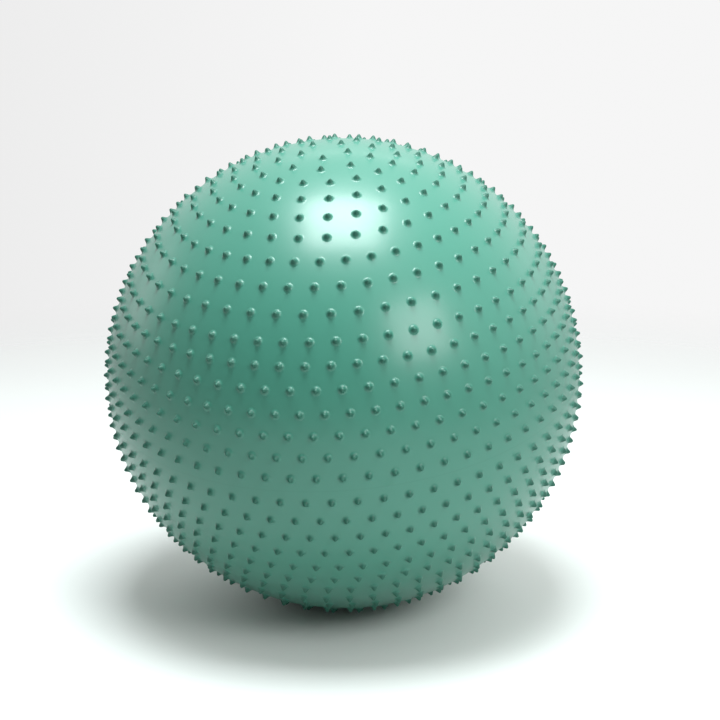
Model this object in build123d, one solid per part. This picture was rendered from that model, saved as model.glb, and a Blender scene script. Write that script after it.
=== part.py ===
from build123d import *
import os
from math import acos, atan2, cos, degrees, hypot, radians, sin, sqrt, tan

# Massage ball: an air-filled vinyl skin covered with rings of small pointed nubs, and its air valve.
# Millimetres. +Z is up, the front is -Y, and the origin is on the floor under the ball's centre.

# The skin
BALL_DIAMETER = 650.0      # over the smooth skin, between the nubs
WALL = 0.9
SAG = 6.0                  # how deep the underside is pressed flat by the ball's weight
LINE_WIDTH = 3.0           # the raised line that the mould's two halves leave round the middle
LINE_HEIGHT = 0.5

# The way the ball lies: its moulding pole leans forward and a little to the left
POLE_LEAN = 14.1
POLE_HEADING = -106.9      # compass angle of the lean, from +X towards +Y

# Nubs
NUB_HEIGHT = 6.6
NUB_RADIUS = 4.8           # where the nub leaves the skin
NUB_TIP_RADIUS = 1.8
NUB_ROOT = 0.7             # how far the nub's body goes into the wall
FOOT_HEIGHT = 5.4          # a nub under the ball, pressed shorter by the weight

# Rings of nubs, from the middle line out to each pole: degrees from the ring before, and nubs in it
RING_STEPS = (2.95, 4.8, 4.8, 4.8, 5.1, 5.1, 5.1, 6.0, 6.0, 6.0, 6.0, 5.6, 5.6, 5.5, 5.5, 5.5)
UPPER_COUNTS = (64, 64, 64, 64, 60, 58, 54, 48, 45, 41, 32, 27, 22, 17, 10, 5)
LOWER_COUNTS = (64, 64, 64, 64, 64, 60, 58, 52, 47, 41, 32, 27, 22, 17, 10, 5)
START_MERIDIAN = 67.0      # every ring is laid out from this meridian, degrees round from the front
FULL_RING = 64             # rings of this count are staggered by half a step, one after the other

# Valve, in place of one nub at the back of the ball
VALVE_RING = 2             # counted from the middle line, upper half
VALVE_SITE = 20            # counted from the start meridian
SEAT_RADIUS = 11.0         # the bush where it passes through the wall
SEAT_RIM = 0.5             # how far the bush stands out of the skin
FLANGE_RADIUS = 15.0       # the bush's flange, bonded under the wall
FLANGE_THICKNESS = 1.2
COLLAR_RADIUS = 7.5
COLLAR_LENGTH = 14.0       # from the smooth skin to the collar's inner end
BORE_RADIUS = 4.2
RECESS_RADIUS = 9.3
RECESS_FLOOR = 1.3         # below the smooth skin
HEAD_RADIUS = 9.0
HEAD_GAP = 0.3             # between the stopper's head and the recess floor
HEAD_THICKNESS = 1.8
STEM_LENGTH = 18.0         # from under the head
STEM_CLEARANCE = 0.05
STEM_CHAMFER = 1.2
NOTCH_RADIUS = 3.0         # the scoop in the rim that lets a fingernail under the head

RADIUS = BALL_DIAMETER / 2
INSIDE = RADIUS - WALL
CENTRE_HEIGHT = FOOT_HEIGHT + RADIUS - SAG
PATCH_RADIUS = sqrt(RADIUS**2 - (RADIUS - SAG) ** 2)
LOW_NUB_RADIUS = PATCH_RADIUS + 4 * NUB_RADIUS    # nubs nearer the foot's centre are added with the foot
LINE_HALF_ANGLE = degrees(LINE_WIDTH / 2 / RADIUS)
SEAM = START_MERIDIAN + 360 / FULL_RING / 4
BLOCK = 2 * BALL_DIAMETER                         # side of the block that trims the nubs at the floor


def lying_plane():
    """The ball's own frame as it lies on the floor: Z through the pole, X out of the front meridian."""
    lean = radians(POLE_LEAN)
    heading = radians(POLE_HEADING)
    pole = Vector(sin(lean) * cos(heading), sin(lean) * sin(heading), cos(lean))
    front = Vector(0, -1, 0)
    return Plane(origin=(0, 0, CENTRE_HEIGHT), x_dir=front - pole * front.dot(pole), z_dir=pole)


def skin_plane(latitude, longitude):
    """A plane on the smooth skin, facing out, in the ball's own frame."""
    lat = radians(latitude)
    lon = radians(longitude)
    outward = Vector(cos(lat) * cos(lon), cos(lat) * sin(lon), sin(lat))
    return Plane(origin=outward * RADIUS, x_dir=(-sin(lon), cos(lon), 0), z_dir=outward)


def turned(outline, turn=0.0):
    """A solid turned round Z from a closed outline drawn as (radius, height); its seam is at turn."""
    section = Rot(0, 0, turn) * (Plane.XZ * make_face(outline))
    return Solid.revolve(section.face(), 360, Axis.Z)


def rings_of(side, counts):
    """Each ring of one half, as its latitude and the longitudes of its nubs; side is 1 above, -1 below."""
    rings = []
    latitude = 0.0
    for number, (step, count) in enumerate(zip(RING_STEPS, counts)):
        latitude += step
        staggered = count == FULL_RING and number % 2 == (1 if side > 0 else 0)
        first = 0.5 if staggered else 0.0
        longitudes = [START_MERIDIAN + 360 * (first + i) / count for i in range(count)]
        rings.append((side * latitude, longitudes))
    return rings


def polar(latitude, distance):
    """A point of a section through the ball's own axis, as (radius, height)."""
    return (distance * cos(radians(latitude)), distance * sin(radians(latitude)))


def wall_ring(low, high, outside):
    """The wall between two latitudes as a ring of the hollow ball, with the given curve outside."""
    outline = [
        outside,
        Line(polar(high, RADIUS), polar(high, INSIDE)),
        CenterArc((0, 0), INSIDE, low, high - low),
        Line(polar(low, INSIDE), polar(low, RADIUS)),
    ]
    return turned(outline, SEAM)


def plain_wall(low, high):
    """The smooth wall between two latitudes."""
    return wall_ring(low, high, CenterArc((0, 0), RADIUS, low, high - low))


def line_wall():
    """The wall at the middle, with the mould line raised on it."""
    low, high = -LINE_HALF_ANGLE, LINE_HALF_ANGLE
    crest = (RADIUS + LINE_HEIGHT, 0)
    return wall_ring(low, high, ThreePointArc(polar(low, RADIUS), crest, polar(high, RADIUS)))


def nub_solid():
    """One nub standing on Z = 0: a cone that runs smoothly into a round tip."""
    tip = NUB_HEIGHT - NUB_TIP_RADIUS
    slope = acos(NUB_TIP_RADIUS / sqrt(NUB_RADIUS**2 + tip**2)) - atan2(tip, NUB_RADIUS)
    shoulder = (NUB_TIP_RADIUS * cos(slope), tip + NUB_TIP_RADIUS * sin(slope))
    root = (NUB_RADIUS + NUB_ROOT * tan(slope), -NUB_ROOT)
    outline = [
        Line((0, -NUB_ROOT), root),
        Line(root, shoulder),
        CenterArc((0, tip), NUB_TIP_RADIUS, degrees(slope), 90 - degrees(slope)),
        Line((0, NUB_HEIGHT), (0, -NUB_ROOT)),
    ]
    return turned(outline)


def nub_places(rings, valve):
    """Planes for the nubs of each ring, sorted into those on the round skin and those under the ball."""
    lying = lying_plane()
    around = []
    under = []
    for latitude, longitudes in rings:
        places = [skin_plane(latitude, longitude) for longitude in longitudes]
        places = [place for place in places if (place.origin - valve.origin).length > 1]
        spots = [lying.from_local_coords(place.origin) for place in places]
        low = [spot.Z < CENTRE_HEIGHT and hypot(spot.X, spot.Y) < LOW_NUB_RADIUS for spot in spots]
        around.append([place for place, is_low in zip(places, low) if not is_low])
        under += [place for place, is_low in zip(places, low) if is_low]
    return around, under


def round_ball(rings, around, nub):
    """The hollow ball with its nubs, built up from the zones half-way between the rings."""
    latitudes = [latitude for latitude, _ in rings]
    middle = latitudes.index(min(latitudes, key=abs))
    edges = [-90.0] + [(a + b) / 2 for a, b in zip(latitudes, latitudes[1:])] + [90.0]
    zones = [line_wall()]
    for number, places in enumerate(around):
        low, high = edges[number], edges[number + 1]
        low = LINE_HALF_ANGLE if abs(low) < LINE_HALF_ANGLE else low
        high = -LINE_HALF_ANGLE if abs(high) < LINE_HALF_ANGLE else high
        wall = plain_wall(low, high)
        zones.append(wall.fuse(*[nub.moved(place.location) for place in places]) if places else wall)
    return zones[0].fuse(*zones[1:], glue=True)


def sole_solid():
    """The flat wall where the ball rests, reaching to the middle of the round wall's thickness."""
    middle = RADIUS - WALL / 2
    lower = sqrt(middle**2 - (CENTRE_HEIGHT - FOOT_HEIGHT) ** 2)
    upper = sqrt(middle**2 - (CENTRE_HEIGHT - FOOT_HEIGHT - WALL) ** 2)
    return Solid.make_cone(lower, upper, WALL).moved(Location((0, 0, FOOT_HEIGHT)))


def low_nubs(under, nub):
    """The nubs near the floor: upright under the flat sole, square to the skin beside it."""
    lying = lying_plane()
    nubs = []
    for place in under:
        spot = lying.from_local_coords(place.origin)
        if hypot(spot.X, spot.Y) < PATCH_RADIUS:
            nubs.append(nub.moved(Plane((spot.X, spot.Y, FOOT_HEIGHT), z_dir=(0, 0, -1)).location))
        else:
            nubs.append(nub.moved(lying.location * place.location))
    return nubs


def ball_shell(rings, valve):
    """The whole skin: round wall, nubs, mould line, flat sole and the hole for the valve bush."""
    nub = nub_solid()
    around, under = nub_places(rings, valve)
    lying = lying_plane().location
    hole = Solid.make_cylinder(SEAT_RADIUS, 4 * WALL).moved(Location((0, 0, -2 * WALL)))
    ball = round_ball(rings, around, nub).cut(hole.moved(valve.location)).moved(lying)
    cap = Solid.make_cylinder(LOW_NUB_RADIUS, FOOT_HEIGHT + SAG).moved(Location((0, 0, -SAG)))
    ball = ball.cut(cap).fuse(sole_solid(), *low_nubs(under, nub))
    block = Solid.make_box(BLOCK, BLOCK, NUB_HEIGHT)
    return ball.cut(block.moved(Location((-BLOCK / 2, -BLOCK / 2, -NUB_HEIGHT)))).solid()


def skin_arc(distance, outer, inner):
    """An arc at a distance from the ball's centre, drawn in the valve's own section."""
    drop = [(r, sqrt(distance**2 - r**2) - RADIUS) for r in (outer, (outer + inner) / 2, inner)]
    return ThreePointArc(*drop)


def valve_seat():
    """The bush: a rim with a recess outside, a bonded flange under the wall and a collar inside."""
    under_wall = skin_arc(INSIDE, FLANGE_RADIUS, SEAT_RADIUS)
    under_flange = skin_arc(INSIDE - FLANGE_THICKNESS, COLLAR_RADIUS, FLANGE_RADIUS)
    lower = (COLLAR_RADIUS, -COLLAR_LENGTH)
    outline = [
        Polyline(under_wall @ 1, (SEAT_RADIUS, SEAT_RIM), (RECESS_RADIUS, SEAT_RIM),
                 (RECESS_RADIUS, -RECESS_FLOOR), (BORE_RADIUS, -RECESS_FLOOR),
                 (BORE_RADIUS, -COLLAR_LENGTH), lower, under_flange @ 0),
        under_flange,
        Line(under_flange @ 1, under_wall @ 0),
        under_wall,
    ]
    seat = turned(outline)
    seat = fillet(seat.edges().filter_by(GeomType.CIRCLE).sort_by(Axis.Z)[-2:], SEAT_RIM / 2)
    scoop = Solid.make_sphere(NOTCH_RADIUS).moved(Location((RECESS_RADIUS, 0, SEAT_RIM)))
    return seat.cut(scoop).solid()


def valve_plug():
    """The stopper: a thin round head and a plain stem that is a running fit in the bush."""
    under_head = HEAD_GAP - RECESS_FLOOR
    stem = BORE_RADIUS - STEM_CLEARANCE
    tip = under_head - STEM_LENGTH
    outline = Polyline((0, tip), (stem - STEM_CHAMFER, tip), (stem, tip + STEM_CHAMFER),
                       (stem, under_head), (HEAD_RADIUS, under_head),
                       (HEAD_RADIUS, under_head + HEAD_THICKNESS), (0, under_head + HEAD_THICKNESS),
                       (0, tip))
    plug = turned(outline)
    rim = plug.edges().filter_by(GeomType.CIRCLE).sort_by(Axis.Z)[-1]
    return fillet(rim, HEAD_THICKNESS / 3).solid()


os.makedirs("parts", exist_ok=True)
ball_rings = sorted(rings_of(1, UPPER_COUNTS) + rings_of(-1, LOWER_COUNTS))
valve_latitude, valve_sites = rings_of(1, UPPER_COUNTS)[VALVE_RING]
valve_plane = skin_plane(valve_latitude, valve_sites[VALVE_SITE])
valve_place = lying_plane().location * valve_plane.location
parts = {
    "ball_shell": ball_shell(ball_rings, valve_plane),
    "valve_seat": valve_seat().moved(valve_place),
    "valve_plug": valve_plug().moved(valve_place),
}
for node, solid in parts.items():
    export_step(solid, f"parts/{node}.step", write_pcurves=False)
    print(node, round(solid.volume), "mm3", solid.bounding_box())
print("nubs", sum(len(longitudes) for _, longitudes in ball_rings) - 1)
outward = Plane(valve_place)
print("valve at", outward.origin, "axis", outward.z_dir)
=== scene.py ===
# %% [markdown]
# # An inflated massage ball
# The ball is one skin of soft vinyl, blown up tight. Small pointed nubs stand on it in rings, a thin
# line runs round its middle where the two halves of the mould met, and at the back a stopper closes
# the air valve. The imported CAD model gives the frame, the valve's pieces and every size. This script
# makes the skin again as one clean mesh, with the soft flares round the nubs that the plain CAD
# cones leave out, and it gives each piece its finish.

# %% Load the frame
import math

import bmesh
import bpy
from mathutils import Matrix, Vector


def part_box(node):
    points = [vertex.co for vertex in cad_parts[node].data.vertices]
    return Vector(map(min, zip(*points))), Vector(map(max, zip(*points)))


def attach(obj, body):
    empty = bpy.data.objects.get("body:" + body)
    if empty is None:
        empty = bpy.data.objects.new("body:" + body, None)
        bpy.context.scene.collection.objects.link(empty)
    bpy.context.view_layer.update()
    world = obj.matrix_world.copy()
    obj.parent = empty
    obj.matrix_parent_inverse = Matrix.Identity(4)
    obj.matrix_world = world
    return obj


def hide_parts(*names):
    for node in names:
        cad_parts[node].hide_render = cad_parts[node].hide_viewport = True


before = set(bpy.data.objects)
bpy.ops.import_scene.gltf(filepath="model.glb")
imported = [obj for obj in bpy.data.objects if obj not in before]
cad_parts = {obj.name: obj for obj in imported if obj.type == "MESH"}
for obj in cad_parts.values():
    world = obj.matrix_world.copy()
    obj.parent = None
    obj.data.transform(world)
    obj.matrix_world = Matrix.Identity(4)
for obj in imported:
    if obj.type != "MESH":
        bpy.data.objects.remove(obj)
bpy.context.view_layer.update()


# %% [markdown]
# ## Sizes
# Blender works in metres. The skin has to lie where the CAD shell lies, so its radius is the shell's
# own half width less one nub. Its centre stands over the floor by that radius and one pressed nub, less
# the depth that the underside is pressed flat. The other sizes here repeat the CAD model's own.

# %% Sizes of the ball
MM = 0.001
low, high = (Vector(corner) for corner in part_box("ball_shell"))
NUB_HEIGHT = 6.6 * MM
RADIUS = round((high.x - low.x) / 2 - NUB_HEIGHT, 3)
SAG = 6.0 * MM                 # how deep the ball's weight presses its underside flat
FOOT_HEIGHT = 5.4 * MM         # a pressed nub under the ball
WALL = 0.9 * MM
CENTRE = Vector((0, 0, FOOT_HEIGHT + RADIUS - SAG))
POLE_LEAN = math.radians(14.1)
POLE_HEADING = math.radians(-106.9)
print("radius", RADIUS, "centre height", round(CENTRE.z, 4))

# %% [markdown]
# ## The camera
# It stands in front of the ball and a little above it, far enough off for a short telephoto lens, so
# the ball keeps its round outline. It looks straight ahead in plan and twelve degrees down. It aims a
# little to the right of the ball's centre and above it, so the ball sits slightly left and low.

# %% Camera
CAMERA_DISTANCE = 6.683 * RADIUS
CAMERA_PITCH = math.radians(12)
FOCAL_LENGTH = 77.7            # mm, on a sensor of the width below
SENSOR_WIDTH = 36
AIM_RIGHT = 0.0224
AIM_UP = 0.0182

looking = Vector((0, math.cos(CAMERA_PITCH), -math.sin(CAMERA_PITCH)))
upward = Vector((0, math.sin(CAMERA_PITCH), math.cos(CAMERA_PITCH)))
camera_data = bpy.data.cameras.new("camera")
camera_data.lens = FOCAL_LENGTH
camera_data.sensor_width = SENSOR_WIDTH
camera = bpy.data.objects.new("camera", camera_data)
camera.location = CENTRE + Vector((AIM_RIGHT, 0, 0)) + upward * AIM_UP - looking * CAMERA_DISTANCE
camera.rotation_euler = looking.to_track_quat("-Z", "Y").to_euler()
bpy.context.collection.objects.link(camera)
bpy.context.scene.camera = camera
print("camera at", [round(value, 3) for value in camera.location])

# %% [markdown]
# ## Where the nubs stand
# The nubs lie as on a globe. Their rings run parallel to the line round the middle and start at one
# meridian, and towards the poles a ring holds fewer nubs, so that they stay about as far apart. The
# fullest rings are staggered by half a step. The steps and counts were measured where the nubs can be
# seen and then rounded, and round the lower pole they are a guess. From them a loop works out the two
# angles that place each nub, which keeps the rings even.

# %% Rings of nubs
# From the middle line out to each pole: degrees from the ring before, and nubs in the ring
RING_STEPS = (2.95, 4.8, 4.8, 4.8, 5.1, 5.1, 5.1, 6.0, 6.0, 6.0, 6.0, 5.6, 5.6, 5.5, 5.5, 5.5)
UPPER_COUNTS = (64, 64, 64, 64, 60, 58, 54, 48, 45, 41, 32, 27, 22, 17, 10, 5)
LOWER_COUNTS = (64, 64, 64, 64, 64, 60, 58, 52, 47, 41, 32, 27, 22, 17, 10, 5)
START_MERIDIAN = 67.0          # degrees round from the front
FULL_RING = 64                 # rings of this count are the staggered ones
VALVE_RING = 2                 # in the upper half, counted from 0 at the middle line
VALVE_SITE = 20                # counted from 0 at the start meridian


def outward(latitude, longitude):
    """The direction out of the ball at two angles, in degrees, in the ball's own frame."""
    lat = math.radians(latitude)
    lon = math.radians(longitude)
    return Vector((math.cos(lat) * math.cos(lon), math.cos(lat) * math.sin(lon), math.sin(lat)))


def ring_directions(side, counts):
    """A list of nub directions for each ring of one half; side is 1 above and -1 below."""
    rings = []
    latitude = 0.0
    for number, (step, count) in enumerate(zip(RING_STEPS, counts)):
        latitude += step
        staggered = count == FULL_RING and number % 2 == (1 if side > 0 else 0)
        first = 0.5 if staggered else 0.0
        longitudes = [START_MERIDIAN + 360 * (first + i) / count for i in range(count)]
        rings.append([outward(side * latitude, longitude) for longitude in longitudes])
    return rings


upper_rings = ring_directions(1, UPPER_COUNTS)
lower_rings = ring_directions(-1, LOWER_COUNTS)
valve_direction = upper_rings[VALVE_RING].pop(VALVE_SITE)
nub_directions = [direction for ring in upper_rings + lower_rings for direction in ring]
print("nubs", len(nub_directions))

# %% [markdown]
# ## The skin round the nubs
# The skin could be a globe mesh with the nubs pushed into it by a Boolean, but that leaves slivers
# where the two meshes cross, and slivers show in a glossy highlight. Here the skin grows out of the
# nubs instead. Each nub first gets the small circle where its flare meets the skin, and the mould line
# gets one round the middle. All those points lie on one sphere, so their convex hull joins them into a
# skin with no crossing anywhere. The hull also covers the small circles, and those covers are deleted
# again. The hull leaves out points that crowd within a few millimetres, so the circles are kept coarse.

# %% Circles on the sphere, and the hull through them
NUB_SEGMENTS = 10
FLARE_RADIUS = 7.4 * MM        # where a nub's flare leaves the skin
LINE_SEGMENTS = 160
SEAT_RADIUS = 11.0 * MM        # the hole for the valve's bush
SEAT_SEGMENTS = 16


def standing(direction, distance):
    """A matrix that stands +Z on a direction, at a distance from the ball's centre."""
    turn = direction.to_track_quat("Z", "X").to_matrix().to_4x4()
    return Matrix.Translation(direction * distance) @ turn


def circle_on_sphere(mesh, direction, circle_radius, sphere_radius, segments):
    """A circle lying on the sphere round a direction; returns its vertices."""
    depth = math.sqrt(sphere_radius**2 - circle_radius**2)
    made = bmesh.ops.create_circle(
        mesh, segments=segments, radius=circle_radius, matrix=standing(direction, depth)
    )
    return made["verts"]


skin = bmesh.new()
site = skin.verts.layers.int.new("site")         # which nub a point belongs to
rise = skin.verts.layers.float.new("rise")       # how far up its nub it stands, from 0 to 1
crest = skin.verts.layers.float.new("crest")     # 1 on top of the mould line
for number, direction in enumerate(nub_directions + [valve_direction], start=1):
    is_valve = direction is valve_direction
    radius = SEAT_RADIUS if is_valve else FLARE_RADIUS
    segments = SEAT_SEGMENTS if is_valve else NUB_SEGMENTS
    for vert in circle_on_sphere(skin, direction, radius, RADIUS, segments):
        vert[site] = number
for vert in bmesh.ops.create_circle(skin, segments=LINE_SEGMENTS, radius=RADIUS)["verts"]:
    vert[crest] = 1.0
bmesh.ops.convex_hull(skin, input=skin.verts[:], use_existing_faces=False)
print("hull", len(skin.verts), "vertices", len(skin.faces), "faces")

# %% Open the hull over each circle
covers = []
for face in skin.faces:
    sites = {vert[site] for vert in face.verts}
    if len(sites) == 1 and 0 not in sites:
        covers.append(face)
bmesh.ops.delete(skin, geom=covers, context="FACES_ONLY")
loose = [edge for edge in skin.edges if not edge.link_faces]
bmesh.ops.delete(skin, geom=loose, context="EDGES")
bmesh.ops.recalc_face_normals(skin, faces=skin.faces[:])
rims = [edge for edge in skin.edges if edge.is_boundary]
print("covers opened", len(covers), "rim edges", len(rims))

# %% [markdown]
# ## Growing the nubs
# A moulded nub is a small cone with a round tip and a flare where it runs into the skin. A lathe or a
# Spin could turn one, to be copied over the ball, but then its foot would only rest on the skin. All
# the rims of the skin are extruded together instead, one row after the other, and each row is set to
# the nub's radius and height there. So thirteen hundred nubs grow at once, each in one piece with the
# skin. A number on every point remembers how far up its nub it stands, which the painted shade on the
# nubs and their duller gloss use.

# %% Nub rows
NUB_ROWS = ((6.3, 0.25), (5.0, 0.9), (3.7, 2.4), (2.5, 4.5), (1.4, 6.0))     # radius and height, mm
rims = [edge for edge in rims if edge.verts[0][site] <= len(nub_directions)]
for row_radius, row_height in NUB_ROWS:
    grown = bmesh.ops.extrude_edge_only(skin, edges=rims)["geom"]
    rims = [item for item in grown if isinstance(item, bmesh.types.BMEdge) and item.is_boundary]
    for vert in {vert for edge in rims for vert in edge.verts}:
        axis = nub_directions[vert[site] - 1]
        across = (vert.co - axis * vert.co.dot(axis)).normalized()
        height = math.sqrt(RADIUS**2 - (row_radius * MM) ** 2) + row_height * MM
        vert.co = axis * height + across * row_radius * MM
        vert[rise] = row_height * MM / NUB_HEIGHT
caps = bmesh.ops.edgeloop_fill(skin, edges=rims)["faces"]
tips = bmesh.ops.poke(skin, faces=caps, offset=NUB_HEIGHT - NUB_ROWS[-1][1] * MM)["verts"]
for vert in tips:
    vert[rise] = 1.0
print("nubs grown:", len(tips), "tips,", len(skin.faces), "faces")

# %% [markdown]
# ## The mould line
# The circle round the middle is one row of edges. A bevel splits it into a narrow band with a row down
# its middle, and lifting that row a little makes a low ridge that meets the skin on both sides.

# %% Raise the mould line
LINE_WIDTH = 3.0 * MM
LINE_HEIGHT = 0.45 * MM
middle = [edge for edge in skin.edges if edge.verts[0][crest] * edge.verts[1][crest] == 1]
bmesh.ops.bevel(
    skin, geom=middle, offset=LINE_WIDTH / 2, segments=2, profile=0.5, affect="EDGES", material=-1
)
for vert in skin.verts:
    if vert[crest] > 0:
        in_middle_row = abs(vert.co.z) < LINE_WIDTH / 8
        vert[crest] = 1.0 if in_middle_row else 0.0
        vert.co *= (RADIUS + vert[crest] * LINE_HEIGHT) / vert.co.length
print("middle edges", len(middle), "crest points", sum(vert[crest] for vert in skin.verts))

# %% [markdown]
# ## The inside
# The ball is hollow, and with the stopper out one can see into it. A Solidify modifier would hollow
# the nubs as well, but vinyl fills them solid. So the wall gets a plain inner sphere of its own, joined
# to the outer skin only round the hole for the valve's bush.

# %% Inner wall
HOLE_ANGLE = 1.3 * SEAT_RADIUS / RADIUS     # the lining's own points keep a little clear of the hole
lining = bmesh.ops.create_icosphere(skin, subdivisions=5, radius=RADIUS - WALL)["verts"]
near_hole = [vert for vert in lining if vert.co.angle(valve_direction) < HOLE_ANGLE]
bmesh.ops.delete(skin, geom=near_hole, context="VERTS")
lining = [vert for vert in lining if vert.is_valid]
lining_faces = list({face for vert in lining for face in vert.link_faces})
bmesh.ops.delete(skin, geom=lining_faces, context="FACES_ONLY")
valve_rim = [edge for edge in skin.edges if edge.is_boundary]
grown = bmesh.ops.extrude_edge_only(skin, edges=valve_rim)["geom"]
inner_rim = [item for item in grown if isinstance(item, bmesh.types.BMVert)]
for vert in inner_rim:
    vert.co *= (RADIUS - WALL) / RADIUS
hull = bmesh.ops.convex_hull(skin, input=lining + inner_rim, use_existing_faces=False)["geom"]
inner_faces = [item for item in hull if isinstance(item, bmesh.types.BMFace)]
covers = [face for face in inner_faces if all(vert in inner_rim for vert in face.verts)]
bmesh.ops.delete(skin, geom=covers, context="FACES_ONLY")
loose = [edge for edge in skin.edges if not edge.link_faces]
bmesh.ops.delete(skin, geom=loose, context="EDGES")
bmesh.ops.recalc_face_normals(skin, faces=skin.faces[:])
open_edges = sum(edge.is_boundary for edge in skin.edges)
bad_edges = sum(not edge.is_manifold for edge in skin.edges)
print("lining", len(lining), "points, open edges", open_edges, "non-manifold", bad_edges)

# %% [markdown]
# ## Laid on the floor
# The finished ball is turned the way it lies, with its pole leaning forward, and lifted to its centre
# height. Its weight presses the underside flat. A point there keeps its place in plan and its height
# over the skin, but the skin under it becomes the flat sole, so the nubs there stand upright, and
# their tips are squashed level with the floor.

# %% Lay the ball down and press the sole
SOFT_EDGE = 1.5 * MM           # over this depth the nubs turn from square to the skin to upright
pole = Vector((
    math.sin(POLE_LEAN) * math.cos(POLE_HEADING),
    math.sin(POLE_LEAN) * math.sin(POLE_HEADING),
    math.cos(POLE_LEAN),
))
ahead = Vector((0, -1, 0))
front = (ahead - pole * ahead.dot(pole)).normalized()
lying = Matrix((front, pole.cross(front), pole)).transposed().to_4x4()
lying.translation = CENTRE
bmesh.ops.transform(skin, matrix=lying, verts=skin.verts[:])
for vert in skin.verts:
    away = (vert.co - CENTRE).normalized()
    foot = CENTRE + away * RADIUS
    depth = FOOT_HEIGHT - foot.z
    if depth > 0:
        height = (vert.co - CENTRE).length - RADIUS
        down = away.lerp(Vector((0, 0, -1)), min(depth / SOFT_EDGE, 1)).normalized()
        vert.co = Vector((foot.x, foot.y, FOOT_HEIGHT)) + down * height
    vert.co.z = max(vert.co.z, 0)
print("valve axis", [round(value, 4) for value in lying.to_3x3() @ valve_direction])

# %% [markdown]
# ## Smooth light on the skin
# Smooth shading takes a point's normal from the faces round it. At the foot of a nub those are the wide
# triangles of the skin and the steep flare, so the normal leans, and the skin between two nubs catches
# the light in streaks. The skin is part of a sphere there, so its true normals are known: they point
# straight away from the centre, and the feet of the nubs are given exactly those.

# %% Finish the skin's mesh
CREASE = math.radians(60)      # edges that bend more than this stay sharp
skin_mesh = bpy.data.meshes.new("ball_skin")
skin.to_mesh(skin_mesh)
skin.free()
skin_mesh.shade_smooth()
skin_mesh.set_sharp_from_angle(angle=CREASE)
normals = []
for vert, owner, up_nub in zip(
    skin_mesh.vertices, skin_mesh.attributes["site"].data, skin_mesh.attributes["rise"].data
):
    at_foot = 1 <= owner.value <= len(nub_directions) and up_nub.value == 0
    is_round = vert.co.z > FOOT_HEIGHT + SOFT_EDGE
    away = (vert.co - CENTRE).normalized()
    normals.append(away if at_foot and is_round else Vector((0, 0, 0)))   # zero keeps the usual normal
skin_mesh.normals_split_custom_set_from_vertices(normals)
ball_skin = bpy.data.objects.new("ball_skin", skin_mesh)
bpy.context.collection.objects.link(ball_skin)
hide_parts("ball_shell")
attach(ball_skin, "ball")
skin_mesh.calc_loop_triangles()
print("skin", len(skin_mesh.vertices), "points", len(skin_mesh.loop_triangles), "triangles")

# %% [markdown]
# ## A way to write materials
# A material is a tree of nodes, and long trees are hard to read as calls. The small class below wraps
# one output of a node, so that `1 - mask * 0.5` adds the Math nodes it needs. Colours and vectors go
# through their own nodes, made by `node`, because a Math node would turn them grey.

# %% Socket arithmetic
class Wire:
    """One output socket; adding, subtracting and multiplying it adds Math nodes."""

    def __init__(self, finish, socket):
        self.finish = finish
        self.socket = socket

    def math(self, operation, first, second):
        return self.finish.node("Math", {"operation": operation}, {0: first, 1: second})

    def positive(self):
        """The value where it is above zero, and zero elsewhere."""
        return self.math("MAXIMUM", self, 0.0)

    def __add__(self, other):
        return self.math("ADD", self, other)

    def __sub__(self, other):
        return self.math("SUBTRACT", self, other)

    def __rsub__(self, other):
        return self.math("SUBTRACT", other, self)

    def __mul__(self, other):
        return self.math("MULTIPLY", self, other)

    __radd__ = __add__
    __rmul__ = __mul__


class Finish:
    """The nodes of a material or a world, and the one method that adds a node to them."""

    def __init__(self, owner):
        self.owner = owner
        owner.use_nodes = True
        self.tree = owner.node_tree
        self.tree.nodes.clear()

    def node(self, kind, settings=None, sockets=None, output=0):
        """Adds a node of a type, sets it up, feeds its sockets, and returns one of its outputs."""
        made = self.tree.nodes.new("ShaderNode" + kind)
        for name, value in (settings or {}).items():
            setattr(made, name, value)
        for name, value in (sockets or {}).items():
            if isinstance(value, Wire):
                self.tree.links.new(value.socket, made.inputs[name])
            else:
                made.inputs[name].default_value = value
        return Wire(self, made.outputs[output]) if made.outputs else made

    def surface(self, **sockets):
        """The Principled shader, wired to the material's output."""
        shader = self.node("BsdfPrincipled", {}, sockets)
        self.node("OutputMaterial", {}, {"Surface": shader})


def mixed(finish, factor, first, second):
    """A colour between two, by a factor; a Mix node's sockets share names, so they go by number."""
    return finish.node("Mix", {"data_type": "RGBA"}, {0: factor, 6: first, 7: second}, output=2)

# %% [markdown]
# ## Vinyl
# Blown vinyl is one colour right through, and still never one flat colour. The nubs are painted a
# shade deeper, as painted shade for the dark slopes round each nub, and the mould line gets a faint
# painted shade too. Slow clouds run through the colour, handling leaves faint dull patches in the
# gloss, and the mould gives the surface a very fine grain. All of that is read from the place on the
# object, so it stays put from every side.

# %% Ball vinyl
TEAL = (0.038, 0.186, 0.133, 1)
TEAL_PALE = (0.046, 0.206, 0.150, 1)
TEAL_PAINTED_SHADE = (0.008, 0.084, 0.055, 1)     # painted shade on the nubs, and faintly along the mould line
PAINTED_SHADE_ON_NUB = 0.8                        # how much painted shade a nub and the line show
PAINTED_SHADE_ON_LINE = 0.1
FADE_UP_NUB = 2.5                        # the painted shade, the dulling and the lost coat are full from 1 / 2.5 of a nub's height up
SMEAR_SPREAD = 0.12                      # how far handling moves the roughness, from dull to glossy
DULL_ON_NUB = 0.15
COAT = 0.3
COAT_LOST_ON_NUB = 0.25


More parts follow.
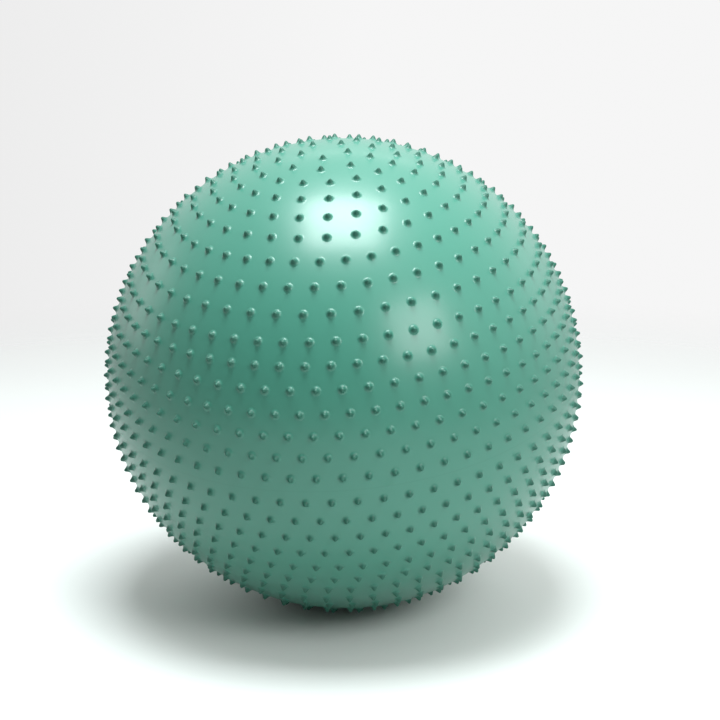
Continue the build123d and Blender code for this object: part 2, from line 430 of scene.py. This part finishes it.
def vinyl(name, gloss, nubbed):
    """Soft semi-gloss vinyl; gloss is its roughness, and nubbed adds painted shade on the nubs and
    along the line, and the nubs' duller gloss.
    """
    finish = Finish(bpy.data.materials.new(name))
    place = finish.node("TexCoord", output="Object")
    clouds = finish.node("TexNoise", {}, {"Vector": place, "Scale": 5.0, "Detail": 2.0})
    smears = finish.node("TexNoise", {}, {"Vector": place, "Scale": 11.0, "Detail": 4.0})
    grain = finish.node("TexNoise", {}, {"Vector": place, "Scale": 900.0, "Detail": 1.0})
    ripple = finish.node("TexNoise", {}, {"Vector": place, "Scale": 38.0, "Detail": 2.0})
    colour = mixed(finish, clouds, TEAL, TEAL_PALE)
    roughness = gloss + smears * SMEAR_SPREAD - SMEAR_SPREAD / 2
    coat = COAT
    if nubbed:
        up_nub = finish.node("Attribute", {"attribute_name": "rise"}, output="Fac")
        on_line = finish.node("Attribute", {"attribute_name": "crest"}, output="Fac")
        on_nub = up_nub.math("MINIMUM", up_nub * FADE_UP_NUB, 1.0)
        # painted shade: the nubs, and faintly the mould line, are darkened in colour where they look
        # dark in the light
        painted_shade = on_nub * PAINTED_SHADE_ON_NUB + on_line * PAINTED_SHADE_ON_LINE
        colour = mixed(finish, painted_shade, colour, TEAL_PAINTED_SHADE)
        roughness = roughness + on_nub * DULL_ON_NUB
        coat = COAT - on_nub * COAT_LOST_ON_NUB
    texture = grain * 0.3 + ripple
    bump = finish.node("Bump", {}, {"Height": texture, "Strength": 0.12, "Distance": 0.0006})
    finish.surface(**{
        "Base Color": colour,
        "Roughness": roughness,
        "Normal": bump,
        "IOR": 1.42,
        "Coat Weight": coat,
        "Coat Roughness": 0.22,
    })
    return finish.owner


ball_skin.data.materials.append(vinyl("skin_vinyl", 0.40, nubbed=True))

# %% [markdown]
# ## The valve
# The bush and the stopper are the CAD model's own pieces: they are small, round and already right, so
# they only need their finishes. The bush is the same vinyl as the ball, a little duller. The stopper
# is a hard white plastic one, with fine scuffs from the nail that pulls it out.

# %% Bush and stopper
OFF_WHITE = (0.56, 0.55, 0.51, 1)
OFF_WHITE_PALE = (0.64, 0.63, 0.60, 1)
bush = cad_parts["valve_seat"]
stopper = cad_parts["valve_plug"]


def stopper_plastic():
    """Hard off-white plastic with scuffs that catch the light."""
    finish = Finish(bpy.data.materials.new("stopper_plastic"))
    place = finish.node("TexCoord", output="Object")
    scuffs = finish.node(
        "TexNoise", {}, {"Vector": place, "Scale": 420.0, "Detail": 5.0, "Distortion": 1.5}
    )
    tint = finish.node("TexNoise", {}, {"Vector": place, "Scale": 90.0, "Detail": 2.0})
    colour = mixed(finish, tint, OFF_WHITE, OFF_WHITE_PALE)
    bump = finish.node("Bump", {}, {"Height": scuffs, "Strength": 0.2, "Distance": 0.0002})
    finish.surface(**{
        "Base Color": colour,
        "Roughness": scuffs * 0.25 + 0.25,
        "Normal": bump,
    })
    return finish.owner


bush_vinyl = vinyl("bush_vinyl", 0.42, nubbed=False)
for piece, material in ((bush, bush_vinyl), (stopper, stopper_plastic())):
    piece.data.materials.clear()
    piece.data.materials.append(material)
print("finishes:", [material.name for material in bpy.data.materials])

# %% [markdown]
# ## Floor
# The floor is pale paper with a faint green tint, a painted stand-in for the green light the ball
# throws onto it. It turns clear towards its edge, where the light of the world behind it takes over, so
# no line shows where it ends.

# %% Floor
FLOOR_RADIUS = 3.0
FADE_FROM = 1.0                # the paper is solid up to this far out, and clear from the next on
FADE_TO = 2.6
# pale paper, tinted faintly green as painted bounce light from the ball
PAPER_WITH_PAINTED_BOUNCE = (0.67, 0.70, 0.68, 1)
floor_mesh = bpy.data.meshes.new("floor")
flat = bmesh.new()
bmesh.ops.create_circle(flat, cap_ends=True, segments=96, radius=FLOOR_RADIUS)
flat.to_mesh(floor_mesh)
flat.free()
floor = bpy.data.objects.new("floor", floor_mesh)
bpy.context.collection.objects.link(floor)
paper = Finish(bpy.data.materials.new("floor_paper"))
spot = paper.node("TexCoord", output="Object")
reach = paper.node("VectorMath", {"operation": "LENGTH"}, {"Vector": spot}, output="Value")
fade = paper.node(
    "MapRange",
    {"interpolation_type": "SMOOTHSTEP"},
    {"Value": reach, "From Min": FADE_FROM, "From Max": FADE_TO, "To Min": 1.0, "To Max": 0.0},
)
paper.surface(**{"Base Color": PAPER_WITH_PAINTED_BOUNCE, "Roughness": 0.7, "Alpha": fade})
floor_mesh.materials.append(paper.owner)

# %% [markdown]
# ## Light
# A large softbox hangs over the front of the ball and makes the broad highlight near its top. A smaller
# one to the front right makes the second highlight. A narrow strip stands high behind the ball, and two
# weak boxes at the back lift its sides. Two of the lamps are slightly cool in colour. A lamp's power is
# worked out from how bright it looks, so resizing one keeps its look.

# %% Lamps
COOL = (0.94, 1.0, 1.02)
WHITE = (1.0, 1.0, 1.0)
BACK_BOX = {"aim": CENTRE, "width": 1.2, "depth": 1.2}


def softbox(name, place, aim, width, depth, radiance, colour):
    """A rectangular lamp facing a point; radiance is how bright it looks, whatever its size."""
    lamp = bpy.data.lights.new(name, "AREA")
    lamp.shape = "RECTANGLE"
    lamp.size = width
    lamp.size_y = depth
    lamp.energy = radiance * width * depth * math.pi
    lamp.color = colour
    holder = bpy.data.objects.new(name, lamp)
    holder.location = place
    facing = Vector(aim) - Vector(place)
    holder.rotation_euler = facing.to_track_quat("-Z", "Y").to_euler()
    bpy.context.collection.objects.link(holder)


softbox(
    "overhead", place=(0, -0.27, 2.4), aim=(0, -0.271, 0),
    width=1.05, depth=1.05, radiance=21.5, colour=COOL,
)
softbox(
    "front_right", place=CENTRE + Vector((0.85, -1.15, 0.77)), aim=CENTRE,
    width=0.70, depth=0.66, radiance=8.5, colour=WHITE,
)
softbox(
    "back_strip", place=CENTRE + Vector((0.05, 1.77, 1.62)), aim=CENTRE,
    width=1.2, depth=0.12, radiance=3.2, colour=WHITE,
)
softbox("left_back", place=(-2.4, 1.2, 1.0), radiance=1.1, colour=WHITE, **BACK_BOX)
softbox("right_back", place=(2.4, 1.2, 1.0), radiance=0.44, colour=COOL, **BACK_BOX)
print("lamps:", [lamp.name for lamp in bpy.data.lights])

# %% [markdown]
# ## World
# Behind the ball the world is nearly white below and round the horizon, and the skin mirrors that along
# its edges. Above the horizon stand the walls, brighter to the right and the back than to the left.
# Everything dims towards the front and the left, so the front of the ball stays deep in colour. X runs
# to the right and Y to the back, so their positive and negative halves pick out the four walls.

# %% World
HORIZON_GLOW = 0.92
RIGHT_WALL = 0.92
LEFT_WALL = 0.5
BACK_WALL = 0.75
CEILING = 0.75
FRONT_DIMMED = 0.66
LEFT_DIMMED = 0.35
WALLS_FROM = 0.02              # between these heights the glow of the horizon gives way to the walls
WALLS_FULL = 0.22
studio = Finish(bpy.data.worlds.new("studio"))
bpy.context.scene.world = studio.owner
toward = studio.node("TexCoord")
right, back, up = (
    studio.node("SeparateXYZ", {}, {"Vector": toward}, output=axis) for axis in ("X", "Y", "Z")
)
left = (right * -1.0).positive()
walls = right.positive() * RIGHT_WALL + left * LEFT_WALL + back.positive() * BACK_WALL + up * CEILING
above = studio.node(
    "MapRange",
    {"interpolation_type": "SMOOTHSTEP"},
    {"Value": up, "From Min": WALLS_FROM, "From Max": WALLS_FULL},
)
shade = 1.0 - (back * -1.0).positive() * FRONT_DIMMED - left * LEFT_DIMMED
strength = ((1.0 - above) * HORIZON_GLOW + above * walls) * shade
glow = studio.node("Background", {}, {"Color": (1, 1, 1, 1), "Strength": strength})
studio.node("OutputWorld", {}, {"Surface": glow})
bpy.context.scene.view_settings.view_transform = "Standard"
